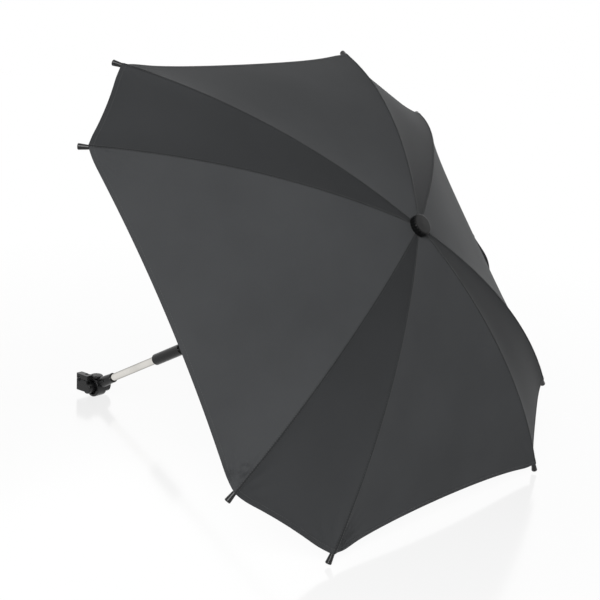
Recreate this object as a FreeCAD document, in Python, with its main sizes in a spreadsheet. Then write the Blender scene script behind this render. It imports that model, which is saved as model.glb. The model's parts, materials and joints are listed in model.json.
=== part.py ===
import FreeCAD, Part
import math
import os
import re
import Sketcher

# A pram parasol that lies open on the ground: its clamp and two rib tips touch the floor.
# Z is up, X runs from the clamp to the crown, and the pole lies in a plane beside the clamp's jaws.
# The origin is the middle of the round bar that the jaws hold, along Y.

# Driving sizes in millimetres and degrees
SIZES = {
    # Canopy, measured from the plane through the rib tips
    "tip_radius": 420,
    "tip_height": 2.6,
    "apex_height": 163.5,
    "rib_sagitta": 30,
    "corner_angle": 11,
    "cloth_thickness": 0.6,
    "cloth_gap": 0.9,
    "cloth_hole": 6,
    "seam_gap": 0.4,
    "hem_gap": 0.4,
    "wide_hem_sag": 9.4,
    "narrow_hem_sag": 2.8,
    # Ribs, their tip caps and the stretchers
    "rib_width": 3.2,
    "rib_depth": 3,
    "rib_wall": 0.6,
    "rib_start": 22,
    "rib_tail": 8,
    "rib_seat": 7,
    "tongue_thickness": 2,
    "eye_radius": 2.8,
    "tip_cap_length": 14,
    "tip_cap_bore_depth": 9,
    "tip_cap_end_diameter": 8.4,
    "tip_cap_neck_diameter": 6,
    "tip_cap_bore": 4.6,
    "tip_cap_rounding": 1,
    "clip_fall": 16.5,
    "clip_drop": 2.8,
    "clip_half_width": 2.2,
    "clip_pin_diameter": 1.6,
    "stretcher_thickness": 1.2,
    "stretcher_depth": 3.2,
    "stretcher_eye": 2,
    "stretcher_end": 1.8,
    "side_gap": 0.3,
    # Hub, crown cap and runner on the upper tube
    "hub_diameter": 34,
    "hub_thickness": 11,
    "hub_drop": 4.8,
    "hub_pivot_radius": 14,
    "hub_pivot_drop": 8.5,
    "hub_slot_floor": 10.8,
    "hub_pin_diameter": 2,
    "hub_pin_seat": 1,
    "cap_diameter": 30,
    "cap_height": 9,
    "cap_stem": 7.8,
    "cap_edge": 1.2,
    "cap_skirt_drop": 2,
    "cap_face_diameter": 25.6,
    "cap_groove": 2.4,
    "cap_groove_depth": 1,
    "cap_groove_count": 22,
    "runner_flange_diameter": 34,
    "runner_flange_thickness": 8,
    "runner_barrel_diameter": 18,
    "runner_barrel_length": 18,
    "runner_slot_floor": 11.6,
    "runner_slot_gap": 0.4,
    # Pole and tilting knuckle
    "inner_tube_diameter": 10,
    "outer_tube_diameter": 12,
    "tube_wall": 0.8,
    "knuckle_drop": 62,
    "mouth_to_knuckle": 456,
    "rest_bend": 7.1,
    "fork_diameter": 16,
    "fork_length": 28,
    "fork_floor": 10,
    "fork_ear_width": 14,
    "fork_flat": 6,
    "fork_cup_depth": 14,
    "tongue_plate": 6,
    "tongue_radius": 6.5,
    "tongue_shoulder": 11,
    "plug_diameter": 14,
    "plug_length": 9,
    "plug_floor": 2,
    "washer_thickness": 0.5,
    "washer_diameter": 12,
    "bolt_diameter": 4,
    "bolt_head_diameter": 8,
    "bolt_head_thickness": 2.4,
    "nut_thickness": 3.6,
    "inner_tube_length": 330,
    # Twist collar that locks the telescopic pole
    "collar_diameter": 18,
    "collar_length": 65,
    "collar_to_knuckle": 280,
    "collar_lip": 4,
    "collar_rounding": 2.6,
    "collet_diameter": 15,
    "collet_length": 5,
    "collet_split": 1.2,
    "outer_tube_setback": 10,
    "bush_head": 6,
    "bush_stem": 10,
    # Swivel and pole socket
    "swivel_radius": 15.5,
    "swivel_ahead": 17.5,
    "swivel_rise": 2.4,
    "pole_offset": 2.6,
    "socket_length": 45,
    "socket_depth": 27,
    "socket_base_diameter": 20,
    "socket_mouth_diameter": 15,
    "socket_lip_diameter": 15.8,
    "socket_lip": 3,
    "socket_pin_diameter": 3,
    "socket_pin_height": 29,
    "barrel_front": 12,
    "barrel_back": 6,
    "barrel_rounding": 1.2,
    "cup_diameter": 24,
    "cup_depth": 5,
    "swivel_bolt_diameter": 6,
    "swivel_bolt_cover": 4,
    "swivel_knob_diameter": 23,
    "swivel_knob_thickness": 10,
    "knob_lobe_diameter": 5,
    "knob_lobe_count": 8,
    "knob_edge_share": 0.75,
    "knob_brow_share": 0.95,
    "knob_face_share": 0.84,
    "knob_bore_share": 0.8,
    "knob_thread_share": 0.7,
    "ear_thickness": 5,
    "ear_diameter": 22,
    # Button on the barrel that frees the swivel
    "button_radius": 10.6,
    "button_height": 3.6,
    "button_edge": 1.4,
    "button_back": 1.5,
    "button_aside": 1,
    "button_press": 1.5,
    "button_seat": 1.5,
    "button_stem": 8,
    "button_stem_length": 6,
    "button_groove": 1.4,
    "button_groove_depth": 0.7,
    "button_groove_count": 3,
    # Jaws of the clamp
    "bar_diameter": 8,
    "pad_thickness": 1.2,
    "jaw_gap": 1.2,
    "jaw_back": 7.6,
    "jaw_ahead": 2,
    "jaw_width": 12,
    "lower_jaw_height": 18.5,
    "upper_jaw_height": 8,
    "jaw_rounding": 2.4,
    "boss_diameter": 17,
    "boss_rounding": 1.6,
    "bridge_height": 10,
    "dowel_diameter": 3.4,
    "dowel_reach": 14.5,
    "clamp_screw_ahead": 9.6,
    "clamp_screw_aside": 2.8,
    "clamp_screw_diameter": 4,
    "clamp_screw_reach": 15,
    "clamp_head_diameter": 7,
    "clamp_head_thickness": 2.6,
    "clamp_head_slot": 1.2,
    "clamp_head_sink": 0.4,
    # Closing strap at the hem
    "strap_length": 67,
    "strap_width": 14,
    "strap_thickness": 1.2,
    "strap_overlap": 4,
    "snap_diameter": 8,
    "snap_thickness": 2.2,
    "snap_inset": 6,
    # Clearances
    "running_gap": 0.05,
    "fit_gap": 0.02,
    "turning_gap": 0.1,
    "free_gap": 0.3,
}

doc = FreeCAD.newDocument("pram_parasol")
sheet = doc.addObject("Spreadsheet::Sheet", "Sizes")
for row, (alias, value) in enumerate(SIZES.items(), start=1):
    sheet.set("A%d" % row, alias)
    sheet.set("B%d" % row, str(value))
    sheet.setAlias("B%d" % row, alias)
doc.recompute()

SCRATCH_CELL = "D1"
X_AXIS = FreeCAD.Vector(1, 0, 0)
Y_AXIS = FreeCAD.Vector(0, 1, 0)
Z_AXIS = FreeCAD.Vector(0, 0, 1)
nodes = []


def size(alias):
    return float(sheet.get(alias))


def number(formula):
    """The value of a formula over the sheet's names."""
    sheet.set(SCRATCH_CELL, "=" + formula)
    sheet.recompute()
    return float(getattr(sheet, SCRATCH_CELL))


def bound(formula):
    """The same formula, as an object outside the sheet has to write it."""
    return re.sub(r"[a-z_]+", lambda word: "Sizes." * (word.group() in SIZES) + word.group(), formula)


def bind(thing, **formulas):
    for name, formula in formulas.items():
        thing.setExpression(name, bound(formula))


def place(x=0, y=0, z=0, axis=Z_AXIS, angle=0):
    return FreeCAD.Placement(FreeCAD.Vector(x, y, z), FreeCAD.Rotation(axis, angle))


def keep(thing, label, placement=FreeCAD.Placement()):
    """Names a finished sub-part, puts it in its place and lists it for export."""
    thing.Label = label
    thing.Placement = placement
    nodes.append(thing)
    return thing


# Building blocks


def cylinder(radius, height, placement=FreeCAD.Placement()):
    part = doc.addObject("Part::Cylinder", "cylinder")
    bind(part, Radius=radius, Height=height)
    part.Placement = placement
    return part


def cone(low_radius, high_radius, height, placement=FreeCAD.Placement()):
    part = doc.addObject("Part::Cone", "cone")
    bind(part, Radius1=low_radius, Radius2=high_radius, Height=height)
    part.Placement = placement
    return part


def box(length, width, height, placement=FreeCAD.Placement()):
    part = doc.addObject("Part::Box", "box")
    bind(part, Length=length, Width=width, Height=height)
    part.Placement = placement
    return part


def along_y(x, y, z):
    """Stands a cylinder's base at a point with its length along +Y."""
    return place(x, y, z, X_AXIS, -90)


def fuse(*parts):
    whole = doc.addObject("Part::MultiFuse", "fuse")
    whole.Shapes = list(parts)
    return whole


def cut(base, *tools):
    rest = doc.addObject("Part::Cut", "cut")
    rest.Base = base
    rest.Tool = tools[0] if len(tools) == 1 else fuse(*tools)
    return rest


def rounded(base, radius, wanted):
    """Fillets the edges of base that wanted picks."""
    doc.recompute()
    soft = doc.addObject("Part::Fillet", "fillet")
    soft.Base = base
    reach = size(radius)
    picked = [i for i, edge in enumerate(base.Shape.Edges, start=1) if wanted(edge)]
    soft.Edges = [(i, reach, reach) for i in picked]
    return soft


def turned(corners):
    """A body turned about Z from a closed outline of (radius, height) formulas."""
    body = doc.addObject("PartDesign::Body", "turned")
    sketch = body.newObject("Sketcher::SketchObject", "outline")
    plane = [part for part in body.Origin.OriginFeatures if part.Role == "XZ_Plane"][0]
    sketch.AttachmentSupport = (plane, "")
    sketch.MapMode = "FlatFace"
    spots = [FreeCAD.Vector(number(across), number(up), 0) for across, up in corners]
    count = len(corners)
    for i in range(count):
        sketch.addGeometry(Part.LineSegment(spots[i], spots[(i + 1) % count]), False)
    for i in range(count):
        sketch.addConstraint(Sketcher.Constraint("Coincident", i, 2, (i + 1) % count, 1))
    for i, corner in enumerate(corners):
        for kind, formula in zip(("DistanceX", "DistanceY"), corner):
            held = sketch.addConstraint(Sketcher.Constraint(kind, -1, 1, i, 1, number(formula)))
            sketch.setExpression("Constraints[%d]" % held, bound(formula))
    turn = body.newObject("PartDesign::Revolution", "turn")
    turn.Profile = sketch
    turn.ReferenceAxis = (sketch, ["V_Axis"])
    turn.Angle = 360
    return body


def tube(diameter, length, placement, label):
    bore = "%s / 2 - tube_wall" % diameter
    return keep(cut(cylinder(diameter + " / 2", length), cylinder(bore, length)), label, placement)


def made(shape, label, placement):
    """A sub-part whose curved shape is set directly."""
    part = doc.addObject("Part::Feature", "made")
    part.Shape = shape
    return keep(part, label, placement)


def slab(points, thickness):
    """A flat plate through (x, z) points, centred on Y = 0."""
    spots = [FreeCAD.Vector(x, -thickness / 2, z) for x, z in points]
    return Part.Face(Part.makePolygon(spots + spots[:1])).extrude(Y_AXIS * thickness)


def disc(radius, thickness, spot):
    """A round plate about an (x, z) point, centred on Y = 0."""
    start = FreeCAD.Vector(spot[0], -thickness / 2, spot[1])
    return Part.makeCylinder(radius, thickness, start, Y_AXIS)


# Where the pole lies: the clamp's swivel and the two lowest tips stand on the floor

corner_angle = size("corner_angle")
RIB_ANGLES = []
for quarter in range(4):
    RIB_ANGLES += [45 + 90 * quarter - corner_angle, 45 + 90 * quarter + corner_angle]
RIB_COUNT = len(RIB_ANGLES)

swivel_aside = number("jaw_width / 2 + turning_gap + barrel_front")
pole_reach = size("socket_length") + size("mouth_to_knuckle")
low_side = size("tip_radius") * math.cos(math.radians(RIB_ANGLES[0]))
bend = math.radians(size("rest_bend"))
tip_thickness = size("tip_cap_end_diameter") / 2


def floor_lean():
    """The lower pole's rise in degrees at which the low tips just reach the floor."""
    drop = size("knuckle_drop")
    rising = pole_reach + drop * math.cos(bend) + low_side * math.sin(bend)
    level = size("pole_offset") + drop * math.sin(bend) - low_side * math.cos(bend)
    height = tip_thickness - size("swivel_radius")
    total = math.hypot(rising, level)
    return math.degrees(math.asin(height / total) - math.atan2(level, rising))


lean = floor_lean()
swivel_height = size("swivel_rise") - size("swivel_radius")
swivel_spot = FreeCAD.Vector(size("swivel_ahead"), swivel_aside, swivel_height)
pole_frame = FreeCAD.Placement(swivel_spot, FreeCAD.Rotation(Y_AXIS, 90 - lean)) * place(-size("pole_offset"))
upper_turn = FreeCAD.Rotation(Y_AXIS, 90 - lean - size("rest_bend"))
knuckle_spot = pole_frame.multVec(FreeCAD.Vector(0, 0, pole_reach))
canopy_spot = knuckle_spot + upper_turn.multVec(FreeCAD.Vector(0, 0, size("knuckle_drop")))
canopy_frame = FreeCAD.Placement(canopy_spot, upper_turn)

# The canopy's curve: one arc from the crown to the tips, in the plane of each rib

apex = size("apex_height")
chord_fall = apex - size("tip_height")
chord = math.hypot(size("tip_radius"), chord_fall)
sagitta = size("rib_sagitta")
arc_radius = (chord * chord / 4 + sagitta * sagitta) / (2 * sagitta)
arc_x = size("tip_radius") / 2 - (arc_radius - sagitta) * chord_fall / chord
arc_z = (apex + size("tip_height")) / 2 - (arc_radius - sagitta) * size("tip_radius") / chord


def below_cloth(depth, x):
    """Height of the curve that lies depth below the cloth's underside, at x from the pole."""
    reach = arc_radius - depth
    return arc_z + math.sqrt(reach * reach - (x - arc_x) ** 2)


def slope_at(x):
    """How steeply the canopy falls outwards at x, in degrees."""
    return math.degrees(math.asin((x - arc_x) / arc_radius))


def strip(top, bottom, start, end):
    """The wire between two depths below the cloth's underside, from start to end."""
    edges = []
    for depth, first, last in ((top, start, end), (bottom, end, start)):
        middle = (first + last) / 2
        three = [FreeCAD.Vector(x, 0, below_cloth(depth, x)) for x in (first, middle, last)]
        edges.append(Part.Arc(*three).toShape())
    for x, first, last in ((end, top, bottom), (start, bottom, top)):
        ends = [FreeCAD.Vector(x, 0, below_cloth(depth, x)) for depth in (first, last)]
        edges.append(Part.LineSegment(*ends).toShape())
    return Part.Wire(Part.__sortEdges__(edges))


def curved_bar(top, bottom, start, end, width):
    face = Part.Face(strip(top, bottom, start, end))
    face.translate(Y_AXIS * (-width / 2))
    return face.extrude(Y_AXIS * width)


def rib_frame(i):
    return canopy_frame * place(angle=RIB_ANGLES[i])


rib_top = size("cloth_gap")
rib_bottom = rib_top + size("rib_depth")
rib_middle = rib_top + size("rib_depth") / 2
hub_pivot = (size("hub_pivot_radius"), apex - size("hub_pivot_drop"))
clip_height = hub_pivot[1] - size("clip_fall")
clip_arc = arc_radius - rib_bottom - size("clip_drop")
clip_spot = (arc_x + math.sqrt(clip_arc * clip_arc - (clip_height - arc_z) ** 2), clip_height)
runner_pivot = (hub_pivot[0], 2 * clip_spot[1] - hub_pivot[1])

# Each tip cap ends at the tip radius, the rib ends inside it, and the hem stops short of its neck
tip_run = math.cos(math.radians(slope_at(size("tip_radius"))))
neck_x = size("tip_radius") - size("tip_cap_length") * tip_run
rib_end = neck_x + size("rib_seat") * tip_run
hem_radius = neck_x - size("hem_gap")


def rib_shape():
    width = size("rib_width")
    wall = size("rib_wall")
    start = size("rib_start")
    channel = curved_bar(rib_top, rib_bottom, start, rib_end, width)
    hollow = curved_bar(rib_top + wall, rib_bottom + wall, start - wall, rib_end + wall, width - 2 * wall)
    eye = size("eye_radius")
    tail = start + size("rib_tail")
    tongue_edge = [(hub_pivot[0], hub_pivot[1] + eye), (tail, below_cloth(rib_top + wall / 2, tail))]
    tongue_edge += [(tail, below_cloth(rib_bottom, tail)), (hub_pivot[0], hub_pivot[1] - eye)]
    thickness = size("tongue_thickness")
    tongue = slab(tongue_edge, thickness).fuse(disc(eye, thickness, hub_pivot))
    bore = disc(size("hub_pin_diameter") / 2 + size("running_gap"), width, hub_pivot)
    half = size("clip_half_width")
    x, z = clip_spot
    roof = below_cloth(rib_bottom - wall, x)
    tabs = slab([(x - half, z), (x - half, roof), (x + half, roof), (x + half, z)], width)
    tabs = tabs.fuse(disc(half, width, clip_spot))
    room = size("stretcher_thickness") + 2 * size("side_gap")
    left, right, foot = x - width, x + width, z - width
    tabs = tabs.cut(slab([(left, foot), (left, roof), (right, roof), (right, foot)], room))
    pin = disc(size("clip_pin_diameter") / 2, width, clip_spot)
    return channel.cut(hollow).multiFuse([tongue, tabs, pin]).cut(bore).removeSplitter()


def stretcher_shape():
    thickness = size("stretcher_thickness")
    depth = size("stretcher_depth")
    run = FreeCAD.Vector(runner_pivot[0] - clip_spot[0], 0, runner_pivot[1] - clip_spot[1])
    side = FreeCAD.Vector(-run.z, 0, run.x).normalize() * (depth / 2)
    edge = []
    for spot, sign in ((clip_spot, 1), (runner_pivot, 1), (runner_pivot, -1), (clip_spot, -1)):
        edge.append((spot[0] + sign * side.x, spot[1] + sign * side.z))
    bar = slab(edge, thickness)
    eye = disc(size("stretcher_eye"), thickness, clip_spot)
    end = disc(size("stretcher_end"), thickness, runner_pivot)
    bore = disc(size("clip_pin_diameter") / 2 + size("running_gap"), thickness, clip_spot)
    return bar.multiFuse([eye, end]).cut(bore).removeSplitter()


def panel_shape(first, last, sag):
    """Cloth ruled straight from rib to rib, with a hem that curves in by sag."""
    half = math.radians((last - first) / 2)
    middle = math.radians((last + first) / 2)
    wires = []
    for angle, aside in ((first, 1), (last, -1)):
        wire = strip(-size("cloth_thickness"), 0, size("cloth_hole"), hem_radius)
        wire.Placement = place(angle=angle) * place(y=aside * size("seam_gap") / 2)
        wires.append(wire)
    cloth = Part.makeLoft(wires, True, True)
    half_chord = hem_radius * math.sin(half)
    sweep = (half_chord * half_chord + sag * sag) / (2 * sag)
    away = hem_radius * math.cos(half) - sag + sweep
    centre = FreeCAD.Vector(away * math.cos(middle), away * math.sin(middle), -apex)
    return cloth.cut(Part.makeCylinder(sweep, 3 * apex, centre, Z_AXIS))


def canopy():
    neck = FreeCAD.Vector(neck_x, 0, below_cloth(rib_middle, neck_x))
    cap_spot = FreeCAD.Placement(neck, FreeCAD.Rotation(Y_AXIS, 90 + slope_at(neck_x)))
    cap_edge = [
        ("tip_cap_bore / 2", "0"),
        ("tip_cap_neck_diameter / 2", "0"),
        ("tip_cap_end_diameter / 2", "tip_cap_length - tip_cap_rounding"),
        ("tip_cap_end_diameter / 2 - tip_cap_rounding", "tip_cap_length"),
        ("0", "tip_cap_length"),
        ("0", "tip_cap_bore_depth"),
        ("tip_cap_bore / 2", "tip_cap_bore_depth"),
    ]
    for i in range(RIB_COUNT):
        made(rib_shape(), "rib_%d" % (i + 1), rib_frame(i))
        made(stretcher_shape(), "stretcher_%d" % (i + 1), rib_frame(i))
        keep(turned(cap_edge), "tip_cap_%d" % (i + 1), rib_frame(i) * cap_spot)
        following = RIB_ANGLES[i + 1] if i + 1 < RIB_COUNT else RIB_ANGLES[0] + 360
        sag = size("narrow_hem_sag") if i % 2 == 0 else size("wide_hem_sag")
        made(panel_shape(RIB_ANGLES[i], following, sag), "panel_%d" % (i + 1), canopy_frame)


def closing_strap():
    """A strap sewn under the middle of one wide hem, along the hem, with a snap button at one end."""
    half = math.radians(45 - corner_angle)
    hem = hem_radius * math.cos(half) - size("wide_hem_sag")
    rib_x = hem / math.cos(half)
    fall = math.degrees(math.atan(math.tan(math.radians(slope_at(rib_x))) / math.cos(half)))
    hem_spot = FreeCAD.Vector(hem, 0, below_cloth(size("free_gap"), rib_x))
    on_hem = FreeCAD.Placement(hem_spot, FreeCAD.Rotation(Y_AXIS, fall))
    strap_frame = canopy_frame * place(angle=90) * on_hem
    length = size("strap_length")
    thickness = size("strap_thickness")
    strap = box("strap_width", "strap_length", "strap_thickness")
    keep(strap, "closing_strap", strap_frame * place(-size("strap_overlap"), -length / 2, -thickness))
    radius = size("snap_diameter") / 2
    edge = [("0", "0"), ("snap_diameter / 2", "0"), ("snap_diameter / 2", "snap_thickness / 2")]
    edge += [("snap_diameter / 3", "snap_thickness"), ("0", "snap_thickness")]
    ahead = size("strap_width") - size("strap_overlap") - radius - size("free_gap")
    keep(turned(edge), "strap_button", strap_frame * place(ahead, length / 2 - size("snap_inset"), 0))


# The hub, crown cap and runner on the upper tube

CROWN_FALL = "(apex_height - tip_height)"
CROWN_SLOPE = ("tan(atan(%s / tip_radius) - 2 * atan(2 * rib_sagitta / sqrt(tip_radius ^ 2 + %s ^ 2)))"
               % (CROWN_FALL, CROWN_FALL))


def radial_slots(width, floor, height):
    """Slots that run outwards from floor at each rib."""
    slots = []
    for angle in RIB_ANGLES:
        spot = place(angle=angle) * place(size(floor), -number(width) / 2, 0)
        slots.append(box("hub_diameter", width, height, spot))
    return slots


def tangent_spot(angle, radius, length, z):
    """Lays a cylinder's length along the tangent of a circle, centred on its radius."""
    return place(angle=angle) * place(radius, -length / 2, z, X_AXIS, -90)


def top_hub():
    low = apex - size("hub_drop") - size("hub_thickness")
    edge = [("inner_tube_diameter / 2 + fit_gap", "0"), ("hub_diameter / 2", "0")]
    edge += [("hub_diameter / 2", "hub_thickness"), ("inner_tube_diameter / 2 + fit_gap", "hub_thickness")]
    slot_width = "tongue_thickness + 2 * side_gap"
    pin_length = slot_width + " + 2 * hub_pin_seat"
    pivot_height = hub_pivot[1] - low
    spots = [tangent_spot(angle, hub_pivot[0], number(pin_length), pivot_height) for angle in RIB_ANGLES]
    holes = [cylinder("hub_pin_diameter / 2 + fit_gap", pin_length, spot) for spot in spots]
    slots = radial_slots(slot_width, "hub_slot_floor", "hub_thickness")
    hub_frame = canopy_frame * place(z=low)
    keep(cut(turned(edge), *slots, *holes), "top_hub", hub_frame)
    pins = doc.addObject("Part::Compound", "pins")
    pins.Links = [cylinder("hub_pin_diameter / 2", pin_length, spot) for spot in spots]
    keep(pins, "hub_pins", hub_frame)


def crown_cap():
    """A screw cap that holds the cloth down on the hub, with a flat top and a grooved edge."""
    seat = "cloth_thickness + free_gap - cap_%s / 2 * " + CROWN_SLOPE
    edge = [
        ("0", "-hub_drop"),
        ("cap_stem / 2", "-hub_drop"),
        ("cap_stem / 2", seat % "stem"),
        ("cap_diameter / 2", seat % "diameter"),
        ("cap_diameter / 2", "cap_height - cap_skirt_drop"),
        ("(cap_diameter + cap_face_diameter) / 4", "cap_height - cap_edge / 2"),
        ("cap_face_diameter / 2", "cap_height - cap_edge / 4"),
        ("0", "cap_height"),
    ]
    count = int(size("cap_groove_count"))
    away = size("cap_diameter") / 2 + size("cap_groove") / 2 - size("cap_groove_depth")
    grooves = []
    for i in range(count):
        spot = place(angle=360 * i / count) * place(away, 0, -size("cap_height"))
        grooves.append(cylinder("cap_groove / 2", "3 * cap_height", spot))
    keep(cut(turned(edge), *grooves), "crown_cap", canopy_frame * place(z=apex))


def runner():
    """A barrel that slides on the upper tube, with a slotted flange for the stretchers' ends."""
    bore = "inner_tube_diameter / 2 + turning_gap"
    edge = [
        (bore, "0"),
        ("runner_flange_diameter / 2", "0"),
        ("runner_flange_diameter / 2", "runner_flange_thickness"),
        ("runner_barrel_diameter / 2", "runner_flange_thickness"),
        ("runner_barrel_diameter / 2", "runner_flange_thickness + runner_barrel_length"),
        (bore, "runner_flange_thickness + runner_barrel_length"),
    ]
    width = "stretcher_thickness + 2 * runner_slot_gap"
    slots = radial_slots(width, "runner_slot_floor", "runner_flange_thickness")
    low = runner_pivot[1] - size("runner_flange_thickness") / 2
    keep(cut(turned(edge), *slots), "runner", canopy_frame * place(z=low))


# The pole, from the hub down to the socket


def knuckle_hole(wide):
    """A bore through the knuckle's pivot, along Y."""
    length = "4 * %s" % wide
    return cylinder("bolt_diameter / 2 + running_gap", length, along_y(0, -2 * size(wide), 0))


def upper_pole():
    drop = size("knuckle_drop")
    low = size("tongue_shoulder") + size("plug_floor")
    knuckle_frame = canopy_frame * place(z=-drop)
    length = "apex_height - hub_drop + knuckle_drop - tongue_shoulder - plug_floor"
    tube("inner_tube_diameter", length, knuckle_frame * place(z=low), "upper_tube")
    plug = cylinder("plug_diameter / 2", "plug_length", place(z=size("tongue_shoulder")))
    reach = size("tongue_radius")
    thick = size("tongue_plate")
    plate = box("2 * tongue_radius", "tongue_plate", "tongue_shoulder", place(-reach, -thick / 2, 0))
    eye = cylinder("tongue_radius", "tongue_plate", along_y(0, -thick / 2, 0))
    seat = cylinder("inner_tube_diameter / 2 + fit_gap", "plug_length", place(z=low))
    tongue = cut(fuse(plug, plate, eye), seat, knuckle_hole("tongue_plate"))
    keep(tongue, "knuckle_tongue", knuckle_frame)


def knuckle():
    """The fork on the telescopic tube, with its pivot bolt, friction washers and nut."""
    frame = pole_frame * place(z=pole_reach)
    length = size("fork_length")
    width = size("fork_diameter")
    room = "tongue_plate + 2 * washer_thickness + 4 * running_gap"
    floor = size("fork_floor")
    stem = cylinder("fork_diameter / 2", "fork_length", place(z=-length))
    face = size("fork_ear_width") / 2
    ears = cylinder("fork_diameter / 2", "fork_ear_width", along_y(0, -face, 0))
    slot_spot = place(-width, -number(room) / 2, -floor)
    slot = box("2 * fork_diameter", room, "fork_floor + fork_diameter", slot_spot)
    flats = []
    for side in (face, -face - width):
        flat_spot = place(-width, side, -size("fork_flat"))
        flats.append(box("2 * fork_diameter", "fork_diameter", "2 * fork_diameter", flat_spot))
    seat = cylinder("inner_tube_diameter / 2 + fit_gap", "fork_cup_depth", place(z=-length))
    fork = cut(fuse(stem, ears), slot, seat, knuckle_hole("fork_diameter"), *flats)
    keep(fork, "knuckle_fork", frame)

    inner = size("tongue_plate") / 2 + size("running_gap")
    washers = doc.addObject("Part::Compound", "washers")
    rings = []
    for low in (inner, -inner - size("washer_thickness")):
        ring = cylinder("washer_diameter / 2", "washer_thickness", along_y(0, low, 0))
        rings.append(cut(ring, knuckle_hole("fork_diameter")))
    washers.Links = rings
    keep(washers, "knuckle_washers", frame)

    head = cylinder("bolt_head_diameter / 2", "bolt_head_thickness",
                    along_y(0, -face - size("bolt_head_thickness"), 0))
    shank = cylinder("bolt_diameter / 2", "fork_ear_width + nut_thickness", along_y(0, -face, 0))
    keep(fuse(head, shank), "knuckle_bolt", frame)

    nut = doc.addObject("Part::Prism", "nut")
    nut.Polygon = 6
    bind(nut, Circumradius="bolt_head_diameter / 2", Height="nut_thickness")
    bore = cylinder("bolt_diameter / 2 + fit_gap", "nut_thickness")
    keep(cut(nut, bore), "knuckle_nut", frame * along_y(0, face, 0))


def telescopic_pole():
    """The inner tube that slides in the outer tube, and the bush at its end."""
    cup = size("fork_length") - size("fork_cup_depth")
    foot = pole_reach - cup - size("inner_tube_length")
    tube("inner_tube_diameter", "inner_tube_length", pole_frame * place(z=foot), "inner_tube")
    edge = [
        ("0", "0"),
        ("outer_tube_diameter / 2 - tube_wall - running_gap", "0"),
        ("outer_tube_diameter / 2 - tube_wall - running_gap", "bush_head"),
        ("inner_tube_diameter / 2 - tube_wall - fit_gap", "bush_head"),
        ("inner_tube_diameter / 2 - tube_wall - fit_gap", "bush_head + bush_stem"),
        ("0", "bush_head + bush_stem"),
    ]
    keep(turned(edge), "slide_bush", pole_frame * place(z=foot - size("bush_head")))
    low = size("socket_length") - size("socket_depth")
    length = "mouth_to_knuckle + socket_depth - collar_to_knuckle - outer_tube_setback"
    tube_hole = cylinder("socket_pin_diameter / 2 + fit_gap", "4 * outer_tube_diameter",
                         along_y(0, -2 * size("outer_tube_diameter"), size("socket_pin_height") - low))
    bore = cylinder("outer_tube_diameter / 2 - tube_wall", length)
    outer = cut(cylinder("outer_tube_diameter / 2", length), bore, tube_hole)
    keep(outer, "outer_tube", pole_frame * place(z=low))


def lock_collar():
    """The twist collar over the end of the outer tube, and the split collet inside it."""
    low = pole_reach - size("collar_to_knuckle") - size("collar_length")
    over_tube = "outer_tube_diameter / 2 + turning_gap"
    over_inner = "inner_tube_diameter / 2 + free_gap"
    shelf = "collar_length - outer_tube_setback"
    lip = "collar_length - collar_lip"
    edge = [
        (over_tube, "0"),
        ("collar_diameter / 2", "0"),
        ("collar_diameter / 2", "collar_length"),
        (over_inner, "collar_length"),
        (over_inner, lip),
        ("collet_diameter / 2 + fit_gap", lip),
        ("collet_diameter / 2 + fit_gap", shelf),
        (over_tube, shelf),
    ]
    rim = size("collar_diameter") / 2

    def low_rim(edge):
        box_of = edge.BoundBox
        return box_of.ZMax < size("fit_gap") and box_of.XMax > rim - size("fit_gap")

    keep(rounded(turned(edge), "collar_rounding", low_rim), "lock_collar", pole_frame * place(z=low))
    ring = cylinder("collet_diameter / 2", "collet_length")
    bore = cylinder("inner_tube_diameter / 2 + turning_gap", "collet_length")
    split = box("collet_diameter", "collet_split", "collet_length", place(0, -size("collet_split") / 2, 0))
    top = low + size("collar_length") - size("collar_lip") - size("collet_length")
    keep(cut(ring, bore, split), "lock_collet", pole_frame * place(z=top))


# The clamp: socket, swivel and jaws

jaw_near = -size("jaw_width") / 2
ear_near = swivel_aside + size("barrel_back") + size("turning_gap")
button_rest = size("swivel_radius") - size("button_seat") + size("button_press") + size("free_gap")
button_x = swivel_spot.x - size("button_back")
button_frame = place(button_x, swivel_aside - size("button_aside"), swivel_spot.z)


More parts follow.
